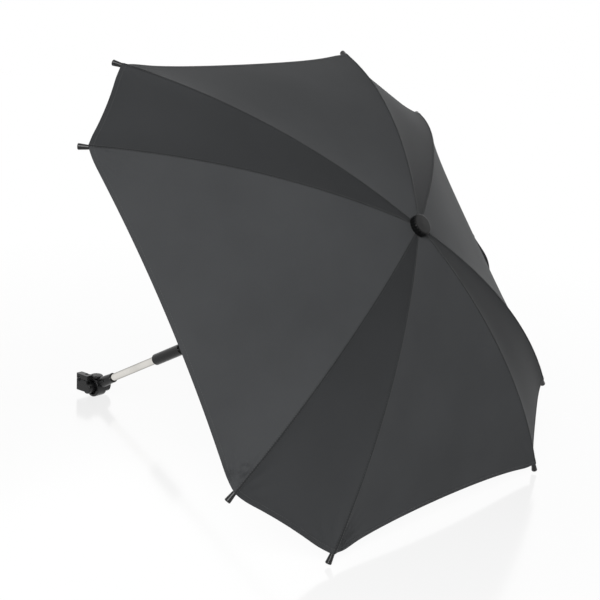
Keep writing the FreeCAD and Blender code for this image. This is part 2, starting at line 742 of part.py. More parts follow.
def pole_socket():
    """The swivelling barrel and the tapered socket that holds the outer tube."""
    front = size("barrel_front")
    mouth = size("socket_length")
    depth = size("socket_depth")
    wide = size("swivel_radius")
    axis_x = size("pole_offset")
    barrel = cylinder("swivel_radius", "barrel_front + barrel_back", along_y(axis_x, -front, 0))
    barrel = rounded(barrel, "barrel_rounding", lambda edge: edge.BoundBox.YMax < 0)
    arm = cone("socket_base_diameter / 2", "socket_mouth_diameter / 2", "socket_length")
    lip = cylinder("socket_lip_diameter / 2", "socket_lip", place(z=mouth - size("socket_lip")))
    cup = cylinder("cup_diameter / 2", "cup_depth", along_y(axis_x, -front, 0))
    bore = cylinder("outer_tube_diameter / 2 + fit_gap", "socket_depth", place(z=mouth - depth))
    shaft = cylinder("swivel_bolt_diameter / 2 + running_gap", "4 * swivel_radius",
                     along_y(axis_x, -2 * wide, 0))
    sweep = cylinder("swivel_radius + free_gap", "2 * swivel_radius",
                     along_y(axis_x, size("barrel_back"), 0))
    pin_hole = cylinder("socket_pin_diameter / 2 + fit_gap", "4 * swivel_radius",
                        along_y(0, -2 * wide, size("socket_pin_height")))
    upright = pole_frame.inverse() * button_frame
    seat_height = wide - size("button_seat")
    seat = cylinder("button_radius + free_gap", "swivel_radius", upright * place(z=seat_height))
    stem_hole = cylinder("button_stem / 2 + turning_gap", "button_stem_length",
                         upright * place(z=seat_height - size("button_stem_length")))
    holes = [cup, bore, shaft, sweep, pin_hole, seat, stem_hole]
    keep(cut(fuse(barrel, arm, lip), *holes), "pole_socket", pole_frame)
    half = size("socket_mouth_diameter") / 2
    keep(cylinder("socket_pin_diameter / 2", "socket_mouth_diameter"), "socket_pin",
         pole_frame * along_y(0, -half, size("socket_pin_height")))


def lock_button():
    """A wide press button on top of the barrel, with finger grooves."""
    edge = [
        ("0", "-button_stem_length"),
        ("button_stem / 2", "-button_stem_length"),
        ("button_stem / 2", "0"),
        ("button_radius", "0"),
        ("button_radius", "button_height - button_edge"),
        ("button_radius - button_edge", "button_height - button_edge / 4"),
        ("0", "button_height"),
    ]
    count = int(size("button_groove_count"))
    reach = size("button_radius")
    floor = size("button_height") - size("button_groove_depth")
    grooves = []
    for i in range(count):
        middle = reach * (2 * (i + 1) / (count + 1) - 1)
        spot = place(middle - size("button_groove") / 2, -reach, floor)
        grooves.append(box("button_groove", "2 * button_radius", "button_height", spot))
    keep(cut(turned(edge), *grooves), "lock_button", button_frame * place(z=button_rest))


def swivel():
    """The bolt from the lower jaw's boss through the barrel and the ear, and the hand knob behind them."""
    start = jaw_near + size("swivel_bolt_cover") + size("fit_gap")
    x, z = swivel_spot.x, swivel_spot.z
    thread = "knob_thread_share * swivel_knob_thickness"
    reach = "jaw_width - swivel_bolt_cover - fit_gap + barrel_front + barrel_back + 3 * turning_gap"
    bolt = cylinder("swivel_bolt_diameter / 2", "%s + ear_thickness + %s" % (reach, thread))
    keep(bolt, "swivel_bolt", along_y(x, start, z))
    edge = [
        ("0", "knob_bore_share * swivel_knob_thickness"),
        ("swivel_bolt_diameter / 2 + running_gap", "knob_bore_share * swivel_knob_thickness"),
        ("swivel_bolt_diameter / 2 + running_gap", "0"),
        ("swivel_knob_diameter / 2", "0"),
        ("swivel_knob_diameter / 2", "knob_edge_share * swivel_knob_thickness"),
        ("swivel_knob_diameter / 2 * knob_face_share", "knob_brow_share * swivel_knob_thickness"),
        ("0", "swivel_knob_thickness"),
    ]
    count = int(size("knob_lobe_count"))
    away = size("swivel_knob_diameter") / 2 + size("knob_lobe_diameter") / 4
    scallops = []
    for i in range(count):
        spot = place(angle=360 * (i + 0.5) / count) * place(away)
        scallops.append(cylinder("knob_lobe_diameter / 2", "swivel_knob_thickness", spot))
    knob_near = ear_near + size("ear_thickness") + size("turning_gap")
    keep(cut(turned(edge), *scallops), "swivel_knob", along_y(x, knob_near, z))


def jaws():
    """Two jaws with rubber saddles round the bar, in front of the barrel, drawn together by a screw."""
    lips = size("jaw_gap") / 2
    foot = -lips - size("lower_jaw_height")
    back = size("jaw_back")
    top = lips + size("upper_jaw_height")
    turn_x, turn_z = swivel_spot.x, swivel_spot.z
    ahead = size("clamp_screw_ahead")
    aside = size("clamp_screw_aside")
    head_top = top - size("clamp_head_sink")
    head_foot = head_top - size("clamp_head_thickness")
    saddle = "bar_diameter / 2 + pad_thickness + fit_gap"

    def along_bar(radius):
        return cylinder(radius, "jaw_width", along_y(0, jaw_near, 0))

    def end_corners(edge):
        """The upright corners at the jaw's outer end."""
        around = edge.BoundBox
        return around.ZLength > around.XLength + around.YLength and around.XMax < 0

    def upright(radius, height, y, low):
        return cylinder(radius, height, place(ahead, y, low))

    # The lower jaw reaches round the barrel, from the boss in front of it to the ear behind it
    block = box("jaw_back + swivel_ahead", "jaw_width", "lower_jaw_height", place(-back, jaw_near, foot))
    block = rounded(block, "jaw_rounding", end_corners)
    far_side = "jaw_width + barrel_front + barrel_back + 2 * turning_gap + ear_thickness"
    bridge = box("jaw_back + swivel_ahead - swivel_radius - free_gap", far_side + " - jaw_rounding",
                 "bridge_height", place(-back, jaw_near + size("jaw_rounding"), foot))
    arm = box("jaw_back + swivel_ahead", "ear_thickness", "bridge_height", place(-back, ear_near, foot))
    ear = cylinder("ear_diameter / 2", "ear_thickness", along_y(turn_x, ear_near, turn_z))
    boss = cylinder("boss_diameter / 2", "jaw_width + cup_depth", along_y(turn_x, jaw_near, turn_z))
    boss = rounded(boss, "boss_rounding", lambda edge: edge.BoundBox.YMax < 0)
    axle = cylinder("swivel_bolt_diameter / 2 + running_gap", far_side,
                    along_y(turn_x, jaw_near + size("swivel_bolt_cover"), turn_z))
    screw_hole = upright("clamp_screw_diameter / 2 + turning_gap", "clamp_screw_reach", aside,
                         -size("clamp_screw_reach"))
    dowel_hole = upright("dowel_diameter / 2 + turning_gap", "dowel_reach", -aside, -size("dowel_reach"))
    lower = cut(fuse(block, bridge, arm, ear, boss), along_bar(saddle), axle, screw_hole, dowel_hole)
    keep(lower, "lower_jaw")

    cheek = box("jaw_back + swivel_ahead + jaw_ahead", "jaw_width", "upper_jaw_height",
                place(-back, jaw_near, lips))
    cheek = rounded(cheek, "jaw_rounding", end_corners)
    dowel = upright("dowel_diameter / 2", "dowel_reach", -aside, 2 * lips - size("dowel_reach"))
    shank_hole = upright("clamp_screw_diameter / 2 + turning_gap", "upper_jaw_height", aside, lips)
    head_hole = upright("clamp_head_diameter / 2 + turning_gap", "upper_jaw_height", aside, head_foot)
    upper = cut(fuse(cheek, dowel), along_bar(saddle), shank_hole, head_hole)
    keep(upper, "upper_jaw")

    side = "bar_diameter + 2 * pad_thickness"
    reach = number(side)
    for label, low in (("lower_pad", -lips), ("upper_pad", lips - reach)):
        other_half = box(side, "jaw_width", side, place(-reach / 2, jaw_near, low))
        ring = along_bar("bar_diameter / 2 + pad_thickness")
        keep(cut(ring, along_bar("bar_diameter / 2"), other_half), label)

    below = "clamp_screw_reach - jaw_gap"
    shank_length = below + " + jaw_gap / 2 + upper_jaw_height - clamp_head_sink - clamp_head_thickness"
    shank = upright("clamp_screw_diameter / 2", shank_length, aside, -number(below))
    head = upright("clamp_head_diameter / 2", "clamp_head_thickness", aside, head_foot + size("running_gap"))
    slot_width = size("clamp_head_slot")
    slot_spot = place(ahead - slot_width / 2, aside - size("clamp_head_diameter") / 2, head_top - slot_width)
    slot = box("clamp_head_slot", "clamp_head_diameter", "clamp_head_thickness", slot_spot)
    keep(cut(fuse(shank, head), slot), "clamp_screw")


canopy()
closing_strap()
top_hub()
crown_cap()
runner()
upper_pole()
knuckle()
telescopic_pole()
lock_collar()
pole_socket()
lock_button()
swivel()
jaws()

doc.recompute()
for thing in doc.Objects:
    if "Invalid" in thing.State or "Error" in thing.State:
        raise RuntimeError("%s (%s) could not be built" % (thing.Name, thing.Label))
for thing in nodes:
    if thing.Shape.isNull() or not thing.Shape.isValid():
        raise RuntimeError("%s has no valid shape" % thing.Label)

os.makedirs("parts", exist_ok=True)
for thing in nodes:
    thing.Shape.exportStep("parts/%s.step" % thing.Label)
print("lower pole rises %.3f degrees, %d sub-parts" % (lean, len(nodes)))
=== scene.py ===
import json
import math
from collections import namedtuple
import bmesh
import bpy
from mathutils import Matrix, Vector

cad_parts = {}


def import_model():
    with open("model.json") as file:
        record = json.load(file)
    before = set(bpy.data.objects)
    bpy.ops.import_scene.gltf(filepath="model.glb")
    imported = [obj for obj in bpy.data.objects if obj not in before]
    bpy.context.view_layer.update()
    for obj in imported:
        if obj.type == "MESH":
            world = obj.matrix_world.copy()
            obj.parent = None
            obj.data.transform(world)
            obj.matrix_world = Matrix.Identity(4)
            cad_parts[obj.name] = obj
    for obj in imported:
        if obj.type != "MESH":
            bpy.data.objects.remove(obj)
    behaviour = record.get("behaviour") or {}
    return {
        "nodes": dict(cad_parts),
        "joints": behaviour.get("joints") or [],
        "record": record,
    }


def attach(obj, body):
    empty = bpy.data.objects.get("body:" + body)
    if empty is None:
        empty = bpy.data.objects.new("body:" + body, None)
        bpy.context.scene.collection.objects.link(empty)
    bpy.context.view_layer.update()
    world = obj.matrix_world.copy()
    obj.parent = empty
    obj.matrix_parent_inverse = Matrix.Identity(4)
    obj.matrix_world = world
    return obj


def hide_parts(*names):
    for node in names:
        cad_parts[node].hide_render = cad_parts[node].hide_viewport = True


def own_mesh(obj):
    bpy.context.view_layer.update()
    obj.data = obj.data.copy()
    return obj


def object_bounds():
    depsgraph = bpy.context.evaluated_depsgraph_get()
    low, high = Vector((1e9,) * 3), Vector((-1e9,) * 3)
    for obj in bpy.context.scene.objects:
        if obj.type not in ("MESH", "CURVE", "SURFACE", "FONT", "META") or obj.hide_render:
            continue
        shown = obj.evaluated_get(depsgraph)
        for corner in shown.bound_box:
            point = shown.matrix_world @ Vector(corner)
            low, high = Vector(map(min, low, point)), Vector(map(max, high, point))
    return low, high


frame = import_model()
cad_low, cad_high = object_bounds()
nodes = frame["nodes"]
joints = {joint["name"]: joint for joint in frame["joints"]}
slot_of = {row["node"]: row["material_slot"] for row in frame["record"]["subparts"]}

# The canopy's main sizes in metres: heights of the cloth's underside over the plane through the rib tips
RIB_COUNT = 8
TIP_RADIUS = 0.420
TIP_HEIGHT = 0.0026
APEX_HEIGHT = 0.1635
RIB_SAGITTA = 0.030
# Half the angle between the two ribs at a cut corner
CORNER_ANGLE = math.radians(11)
# How far the knuckle's axis lies below the plane through the rib tips
KNUCKLE_DROP = 0.062

# The cloth: where it starts out from the pole, its thickness and how far it is stretched
CLOTH_HOLE = 0.006
CLOTH_THICKNESS = 0.0006
CLOTH_STRETCH = 1.01

# The two kinds of panel: the hem's inward curve and drop and the cloth's sag between the ribs, in metres,
# the share of the tips' gathers that it takes, and the columns of half its grid
PanelKind = namedtuple("PanelKind", "hem_sag hem_drop sag gather columns")
WIDE = PanelKind(hem_sag=0.0086, hem_drop=0.0063, sag=0.007, gather=1, columns=30)
NARROW = PanelKind(hem_sag=0.0036, hem_drop=0.0061, sag=0.0028, gather=0.5, columns=14)

# The far wide panel carries the closing strap and sags most
STRAP_PANEL = 2
FAR_SAG = 0.0115

# The sag grows from near the crown, and gives way to the hem's own drop; both as shares of the hem's radius
SAG_START = 0.05
SAG_FULL = 0.6
SAG_POWER = 3.0
DROP_START = 0.6
DROP_POWER = 5.0

# The grids have finer steps towards the hem and the ribs
ROWS = 72
ROW_POWER = 1.5
COLUMN_POWER = 1.6

# The share at a panel's middle, and the step over which directions on the cloth are measured
MIDDLE = 0.5
NORMAL_STEP = 0.002

# The turned hem
HEM_RADIUS = 0.4140
HEM_WIDTH = 0.0062
HEM_RISE = 0.0001
HEM_FOLD = 0.0008
HEM_STEPS = 3
HEM_ROUNDS = 8
HEM_STITCH_AWAY = 0.0048

# The lapped seams, which are narrower near the crown
SEAM_HALF_WIDTH = 0.0015
SEAM_CROWN_SHARE = 0.5
SEAM_NARROW_UNTIL = 0.02
SEAM_WIDE_FROM = 0.2
SEAM_RISE = 0.0004
SEAM_START = 0.011
SEAM_STEPS = 3 * ROWS
SEAM_EDGE = 0.94
SEAM_EDGE_RISE = 0.95
SEAM_FLAT = 0.4
SEAM_STITCH_AWAY = 0.0011
SEAM_NORMAL_SHARE = 0.02

# Folds that run together at the tips, with a strength for each tip
GATHER_REACH = 0.060
GATHER_PEAK = 0.4
GATHER_RISE = 0.0011
GATHER_FOLDS = 2.75
GATHER_SHARES = (0.5, 0.4, 0.3, 0.2, 0.5, 0.8, 1.5, 1.2)

# The cloth's corners are cut back a little, and lie over the tip caps' necks
CORNER_CUT = 0.0036
CORNER_CLEAR = 0.032
CAP_LIFT = 0.0005
CAP_START = 0.399
CAP_COVERED = 0.4085
CAP_HALF = 0.003
CAP_CLEAR = 0.0075

# Stitches: each is a thread with thin ends that dip into the cloth
STITCH_LENGTH = 0.0024
STITCH_PITCH = 0.0034
STITCH_RADIUS = 0.00024
STITCH_SIDES = 6
STITCH_START = 0.15
STITCH_BEND = 0.2
STITCH_LIFT = 0.6
STITCH_END = 0.35

# The canopy's own frame: X towards its low side, Z along the pole to the crown
canopy_up = -Vector(joints["runner_slide"]["axis"])
canopy_side = Vector((0, 1, 0))
canopy_down = canopy_side.cross(canopy_up)
CANOPY = Matrix((canopy_down, canopy_side, canopy_up)).transposed().to_4x4()
CANOPY.translation = Vector(joints["canopy_tilt"]["pos_m"]) + KNUCKLE_DROP * canopy_up
CROWN = CANOPY @ Vector((0, 0, APEX_HEIGHT))

# One arc from the crown to the tips
chord_fall = APEX_HEIGHT - TIP_HEIGHT
chord = math.hypot(TIP_RADIUS, chord_fall)
ARC_RADIUS = (chord * chord / 4 + RIB_SAGITTA ** 2) / (2 * RIB_SAGITTA)
ARC_X = TIP_RADIUS / 2 - (ARC_RADIUS - RIB_SAGITTA) * chord_fall / chord
ARC_Z = (APEX_HEIGHT + TIP_HEIGHT) / 2 - (ARC_RADIUS - RIB_SAGITTA) * TIP_RADIUS / chord


def cloth_height(x):
    """Height of the cloth's underside over a rib, at x from the pole."""
    return ARC_Z + math.sqrt(ARC_RADIUS ** 2 - (x - ARC_X) ** 2)


def rib_angle(index):
    """A rib's direction round the pole: two ribs stand on either side of each corner."""
    corner = math.pi / 4 + math.pi / 2 * (index // 2)
    side = 2 * (index % 2) - 1
    return corner + CORNER_ANGLE * side


def smooth(low, high, value):
    """Goes from 0 at low to 1 at high, level at both."""
    share = min(max((value - low) / (high - low), 0), 1)
    return share * share * (3 - 2 * share)


class Panel:
    """The cloth between two ribs: x runs along the ribs, and share from the first rib to the second."""

    def __init__(self, index):
        self.number = index + 1
        self.next_number = self.number % RIB_COUNT + 1
        self.wide = index % 2 == 1
        self.kind = WIDE if self.wide else NARROW
        self.sag = FAR_SAG if self.number == STRAP_PANEL else self.kind.sag
        self.first = rib_angle(index)
        self.last = rib_angle(self.next_number - 1)
        if self.last < self.first:
            self.last += 2 * math.pi
        self.half = (self.last - self.first) / 2
        half_hem = HEM_RADIUS * math.sin(self.half)
        self.sweep = (half_hem ** 2 + self.kind.hem_sag ** 2) / (2 * self.kind.hem_sag)

    def width(self, x):
        """The straight distance between the two ribs."""
        return 2 * x * math.sin(self.half)

    def off_rib(self, x, share):
        """The distance from the nearer rib."""
        return min(share, 1 - share) * self.width(x)

    def rib(self, from_first):
        """The number of the rib that carries a half of the panel."""
        return self.number if from_first else self.next_number

    def cloth(self):
        # The narrow corner panels take the cloth that is painted darker, as painted shade.
        return CLOTH if self.wide else SHADED_CORNER_CLOTH

    def half_name(self, kind, from_first):
        """The name of a piece that belongs to half of the panel."""
        return "%s_%d_%s" % (kind, self.number, "near" if from_first else "far")

    def hem(self, share):
        """The x at which the hem's inward curve crosses this share, cut back beside the tips."""
        x = HEM_RADIUS
        nearest = HEM_RADIUS * math.cos(self.half) - self.kind.hem_sag + self.sweep
        for _ in range(HEM_ROUNDS):
            aside = x * math.sin(self.half) * (2 * share - 1)
            x = (nearest - math.sqrt(self.sweep ** 2 - aside ** 2)) / math.cos(self.half)
        short = max(1 - self.off_rib(x, share) / CORNER_CLEAR, 0)
        return x - CORNER_CUT * short * short

    def ruled(self, x, share):
        """A point of the cloth pulled straight from rib to rib, in the canopy's frame."""
        across = [Vector((math.cos(angle), math.sin(angle), 0)) for angle in (self.first, self.last)]
        spot = across[0].lerp(across[1], share) * x
        spot.z = cloth_height(x)
        return spot

    def sink(self, x, share):
        """How far the cloth gives way inwards between the ribs."""
        along = x / HEM_RADIUS
        aside = abs(2 * share - 1)
        at_hem = smooth(DROP_START, 1, along)
        belly = self.sag * (1 - aside ** SAG_POWER) * smooth(SAG_START, SAG_FULL, along)
        droop = self.kind.hem_drop * (1 - aside ** DROP_POWER)
        return belly * (1 - at_hem) + droop * at_hem

    def over_cap(self, x, share):
        """How far the tip cap's neck raises the cloth's corner, as a share of the whole rise."""
        aside = self.off_rib(x, share)
        return smooth(CAP_START, CAP_COVERED, x) * (1 - smooth(CAP_HALF, CAP_CLEAR, aside))

    def gather(self, x, share):
        """How far the folds that run together at the nearer tip stand off the cloth."""
        aside = self.off_rib(x, share)
        short = max(HEM_RADIUS - x, 0)
        away = math.hypot(short, aside) / GATHER_REACH
        turn = math.atan2(aside, short) / (math.pi / 2 - self.half)
        tip = self.rib(share < MIDDLE)
        strength = GATHER_SHARES[tip - 1] * self.kind.gather
        swell = smooth(0, GATHER_PEAK, away) * (1 - smooth(GATHER_PEAK, 1, away))
        return GATHER_RISE * strength * swell * math.sin(math.tau * GATHER_FOLDS * turn)

    def normal(self, x, share):
        """The outward direction of the cloth pulled straight, in the canopy's frame."""
        along = self.ruled(x + NORMAL_STEP, share) - self.ruled(x - NORMAL_STEP, share)
        across = self.ruled(x, share + NORMAL_STEP) - self.ruled(x, share - NORMAL_STEP)
        return along.cross(across).normalized()

    def outward(self, x, share):
        """The same direction in the row frame."""
        return CANOPY.to_3x3() @ self.normal(x, share)

    def place(self, x, share, rise=0.0):
        """A point in the row frame, raised off the cloth's underside."""
        lift = rise + self.gather(x, share) + CAP_LIFT * self.over_cap(x, share) - self.sink(x, share)
        return CANOPY @ (self.ruled(x, share) + self.normal(x, share) * lift)

    def shares(self, from_first):
        """Shares across half of the panel, closer together beside the rib."""
        columns = self.kind.columns
        steps = [MIDDLE * (i / columns) ** COLUMN_POWER for i in range(columns + 1)]
        return steps if from_first else [1 - step for step in reversed(steps)]


PANELS = [Panel(i) for i in range(RIB_COUNT)]

# Meshes
SHARP_ANGLE = math.radians(40)


def piece(name, points, faces, materials, face_materials=None):
    """A mesh in the row frame, smooth but for its sharp edges."""
    mesh = bpy.data.meshes.new(name)
    mesh.from_pydata([tuple(point) for point in points], [], faces)
    for made in materials:
        mesh.materials.append(made)
    if face_materials:
        mesh.polygons.foreach_set("material_index", face_materials)
    mesh.polygons.foreach_set("use_smooth", [True] * len(mesh.polygons))
    mesh.set_sharp_from_angle(angle=SHARP_ANGLE)
    mesh.validate()
    built = bpy.data.objects.new(name, mesh)
    bpy.context.scene.collection.objects.link(built)
    return built


def grid_faces(rows, columns, offset=0, turned=False):
    """Four-sided faces over a grid of points that are listed row by row."""
    faces = []
    for row in range(rows - 1):
        for column in range(columns - 1):
            a = offset + row * columns + column
            face = (a, a + 1, a + columns + 1, a + columns)
            faces.append(face[::-1] if turned else face)
    return faces


def shell(upper, lower):
    """Points and faces of a closed sheet between two grids of points."""
    rows = len(upper)
    columns = len(upper[0])
    points = [point for row in upper + lower for point in row]
    count = rows * columns
    faces = grid_faces(rows, columns, turned=True) + grid_faces(rows, columns, count)
    rim = list(range(columns))
    rim += [row * columns + columns - 1 for row in range(1, rows)]
    rim += [(rows - 1) * columns + column for column in range(columns - 2, -1, -1)]
    rim += [row * columns for row in range(rows - 2, 0, -1)]
    for i, a in enumerate(rim):
        b = rim[(i + 1) % len(rim)]
        faces.append((a, b, b + count, a + count))
    return points, faces


def loft(sections):
    """Points and faces of a closed bar through sections of equally many points."""
    count = len(sections[0])
    points = [point for section in sections for point in section]
    faces = []
    for i in range(len(sections) - 1):
        for j in range(count):
            a = i * count + j
            b = i * count + (j + 1) % count
            faces.append((a, b, b + count, a + count))
    last = (len(sections) - 1) * count
    faces.append(tuple(range(count))[::-1])
    faces.append(tuple(last + j for j in range(count)))
    return points, faces


def ring(centre, right, up, radius, sides):
    """Points round a circle, from right towards up."""
    points = []
    for j in range(sides):
        turn = math.tau * j / sides
        points.append(centre + (right * math.cos(turn) + up * math.sin(turn)) * radius)
    return points


def joined(*parts):
    """Several sets of points and faces as one, with each set's own material."""
    points, faces, kinds = [], [], []
    for kind, (more, quads) in parts:
        faces += [tuple(i + len(points) for i in face) for face in quads]
        points += more
        kinds += [kind] * len(quads)
    return points, faces, kinds


def stitches(spots, normals):
    """Small rounded threads laid end to end along a line of points, at the stitching's pitch."""
    lengths = [0.0]
    for a, b in zip(spots, spots[1:]):
        lengths.append(lengths[-1] + (b - a).length)

    def at(distance):
        i = 0
        while i + 2 < len(lengths) and lengths[i + 1] < distance:
            i += 1
        share = (distance - lengths[i]) / (lengths[i + 1] - lengths[i])
        return spots[i].lerp(spots[i + 1], share), normals[i].lerp(normals[i + 1], share).normalized()

    # The share of a stitch's length, and its lift and thickness there in radii
    bends = (
        (0, 0, STITCH_END),
        (STITCH_BEND, STITCH_LIFT, 1),
        (1 - STITCH_BEND, STITCH_LIFT, 1),
        (1, 0, STITCH_END),
    )
    threads = []
    for k in range(int(lengths[-1] / STITCH_PITCH)):
        start = (k + STITCH_START) * STITCH_PITCH
        rings = []
        for share, lift, thick in bends:
            spot, up = at(start + share * STITCH_LENGTH)
            ahead = (at(start + share * STITCH_LENGTH + STITCH_RADIUS)[0] - spot).normalized()
            side = ahead.cross(up).normalized()
            centre = spot + up * (lift * STITCH_RADIUS)
            rings.append(ring(centre, side, up, thick * STITCH_RADIUS, STITCH_SIDES))
        threads.append((1, loft(rings)))
    points, faces, _ = joined(*threads)
    return points, faces


# Materials
EDGE_ROUNDING = 0.0005
EDGE_SAMPLES = 6
EDGE_TURNED = 0.8
EDGE_PLAIN = 0.98
GREY_TINT = (0.965, 1, 1.04)
WHITE = (1, 1, 1, 1)

# The Mix node's colour sockets share their names with its other sockets, so they are picked by number
MIX_FIRST = 6
MIX_SECOND = 7
MIX_RESULT = 2


class NodeTree:
    """A node tree with short ways to add and join nodes."""

    def __init__(self, tree):
        self.tree = tree

    def add(self, kind, inputs=None, **settings):
        made = self.tree.nodes.new(kind)
        for name, value in settings.items():
            setattr(made, name, value)
        for name, value in (inputs or {}).items():
            self.join(value, made.inputs[name])
        return made

    def join(self, value, socket):
        """Links another node's output to a socket, or sets the socket to a plain value."""
        if isinstance(value, bpy.types.NodeSocket):
            self.tree.links.new(value, socket)
        else:
            socket.default_value = value

    def maths(self, operation, a, b):
        return self.add("ShaderNodeMath", {0: a, 1: b}, operation=operation).outputs[0]

    def ranged(self, value, low, high, start=0.3, end=0.7):
        """Goes from low to high as the value goes from start to end, which suit a noise."""
        inputs = {"Value": value, "From Min": start, "From Max": end, "To Min": low, "To Max": high}
        return self.add("ShaderNodeMapRange", inputs).outputs["Result"]

    def seen(self):
        """1 for what the camera sees directly, in a reflection or through glass, and 0 for light."""
        path = self.add("ShaderNodeLightPath").outputs
        mirrored = self.maths("MAXIMUM", path["Is Glossy Ray"], path["Is Transmission Ray"])
        return self.maths("MAXIMUM", path["Is Camera Ray"], mirrored)


class Finish(NodeTree):
    """A procedural material."""

    def __init__(self, name):
        self.material = bpy.data.materials.new(name)
        self.material.use_nodes = True
        super().__init__(self.material.node_tree)
        self.shader = self.tree.nodes["Principled BSDF"]
        self.place = self.add("ShaderNodeTexCoord").outputs["Object"]

    def set(self, **values):
        """Sets the shader's own sockets: base_color stands for Base Color, and so on."""
        for name, value in values.items():
            self.join(value, self.shader.inputs[name.replace("_", " ").title().replace("Ior", "IOR")])

    def noise(self, scale, detail=3.0, place=None):
        inputs = {"Vector": place or self.place, "Scale": scale, "Detail": detail}
        return self.add("ShaderNodeTexNoise", inputs).outputs["Fac"]

    def bands(self, direction, scale, distortion=0.0):
        inputs = {"Vector": self.place, "Scale": scale, "Distortion": distortion}
        return self.add("ShaderNodeTexWave", inputs, bands_direction=direction).outputs["Fac"]

    def vector_value(self, operation, a, b=(0, 0, 0)):
        return self.add("ShaderNodeVectorMath", {0: a, 1: b}, operation=operation).outputs["Value"]

    def between(self, share, low, high):
        """A colour between two colours."""
        mix = self.add("ShaderNodeMix", {"Factor": share}, data_type="RGBA")
        mix.inputs[MIX_FIRST].default_value = (*low, 1)
        mix.inputs[MIX_SECOND].default_value = (*high, 1)
        return mix.outputs[MIX_RESULT]

    def bump(self, height, strength, distance, over=None):
        inputs = {"Height": height, "Strength": strength, "Distance": distance}
        if over is not None:
            inputs["Normal"] = over
        return self.add("ShaderNodeBump", inputs).outputs["Normal"]

    def rounded(self):
        """The normal of slightly rounded edges, and a share that is 0 on plain faces and 1 on the edges."""
        bevel = self.add("ShaderNodeBevel", {"Radius": EDGE_ROUNDING}, samples=EDGE_SAMPLES)
        turned = bevel.outputs["Normal"]
        plain = self.add("ShaderNodeNewGeometry").outputs["Normal"]
        facing = self.vector_value("DOT_PRODUCT", turned, plain)
        return turned, self.ranged(facing, 1.0, 0.0, EDGE_TURNED, EDGE_PLAIN)


def grey(value):
    """A grey that leans a little to blue."""
    return tuple(value * part for part in GREY_TINT)


def cloth_finish(name, dark, light, painted_fade=0.0):
    """Plain-woven polyester: crossing yarns and faint slubs; where asked, painted light makes it paler away
    from the crown.
    """
    broad_share = 0.6
    slub_share = 0.4
    made = Finish(name)
    warp, weft = [made.bands(direction, scale=420.0, distortion=0.6) for direction in "YZ"]
    yarn = made.maths("MULTIPLY", warp, weft)
    slub = made.noise(scale=900.0, detail=2.0)
    broad = made.noise(scale=9.0, detail=4.0)
    patches = made.ranged(broad, low=0.0, high=broad_share * (1 - painted_fade))
    specks = made.ranged(slub, low=0.0, high=slub_share * (1 - painted_fade))
    shade = made.maths("ADD", patches, specks)
    # Painted light: the cloth is painted paler away from the crown, in place of a sheen that changes with
    # the weave's direction.
    if painted_fade:
        away = made.vector_value("DISTANCE", made.place, CROWN)
        painted_paler = made.ranged(away, low=0.0, high=painted_fade, start=CLOTH_HOLE, end=HEM_RADIUS)
        shade = made.maths("ADD", shade, painted_paler)
    made.set(base_color=made.between(shade, grey(dark), grey(light)))
    made.set(roughness=made.ranged(slub, low=0.5, high=0.62), specular_ior_level=0.03)
    made.set(sheen_weight=0.01, sheen_roughness=0.45)
    yarn_height = made.maths("MULTIPLY", yarn, 0.3)
    slub_height = made.maths("MULTIPLY", slub, 0.5)
    height = made.maths("ADD", yarn_height, slub_height)
    made.set(normal=made.bump(height, strength=0.18, distance=0.0004))
    return made.material


def thread_finish(name, dark, light):
    """Twisted sewing thread."""
    made = Finish(name)
    ply = made.bands("DIAGONAL", scale=900.0)
    made.set(base_color=made.between(ply, grey(dark), grey(light)), roughness=0.55, sheen_weight=0.2)
    return made.material


def plastic_finish(name, base, roughness, grain, grain_scale, gloss=0.3):
    """Moulded plastic: fine grain, uneven gloss, and edges painted paler, partly as rubbed wear and partly
    as painted highlight.
    """
    edge_gain = 4
    edge_lift = 0.02
    smoother = 0.85
    rougher = 1.2
    made = Finish(name)
    fine = made.noise(grain_scale, detail=4.0)
    broad = made.noise(scale=60.0)
    normal, edge = made.rounded()
    # The paler edges are partly wear and partly a painted highlight along the rounded edges.
    worn_and_highlit = made.maths("MULTIPLY", edge, made.ranged(broad, low=0.2, high=1.0))
    made.set(base_color=made.between(worn_and_highlit, grey(base), grey(base * edge_gain + edge_lift)))
    made.set(roughness=made.ranged(broad, roughness * smoother, roughness * rougher))
    made.set(specular_ior_level=gloss)
    made.set(normal=made.bump(fine, grain, distance=0.0003, over=normal))
    return made.material


def metal_finish(name, colour, roughness, streak, stretch):
    """Drawn or plated metal: faint streaks along it and a slightly uneven polish."""
    dull_share = 0.85
    smoother = 0.8
    rougher = 1.3
    edge_tint = 0.35
    made = Finish(name)
    scaled = made.add("ShaderNodeMapping", {"Vector": made.place, "Scale": stretch}).outputs["Vector"]
    lines = made.noise(scale=60.0, detail=5.0, place=scaled)
    broad = made.noise(scale=25.0)
    dull = tuple(part * dull_share for part in colour)
    made.set(base_color=made.between(made.ranged(broad, low=0.0, high=1.0), dull, colour), metallic=1.0)
    made.set(roughness=made.ranged(lines, roughness * smoother, roughness * rougher))
    made.set(specular_tint=(edge_tint, edge_tint, edge_tint, 1))
    made.set(normal=made.bump(lines, streak, distance=0.0002))
    return made.material


def painted_finish(name, dark, light):
    """Lacquered steel with a faint orange peel."""
    made = Finish(name)
    peel = made.noise(scale=400.0, detail=2.0)
    broad = made.noise(scale=30.0)
    made.set(base_color=made.between(broad, grey(dark), grey(light)), metallic=0.0)
    made.set(roughness=made.ranged(broad, low=0.26, high=0.4), coat_weight=0.2, coat_roughness=0.2)
    made.set(normal=made.bump(peel, strength=0.08, distance=0.0002))
    return made.material


# Streaks that run along the pole or along the clamped bar, as scales of the noise on the three axes
ALONG_POLE = (8.0, 60.0, 8.0)
ALONG_BAR = (30.0, 6.0, 30.0)

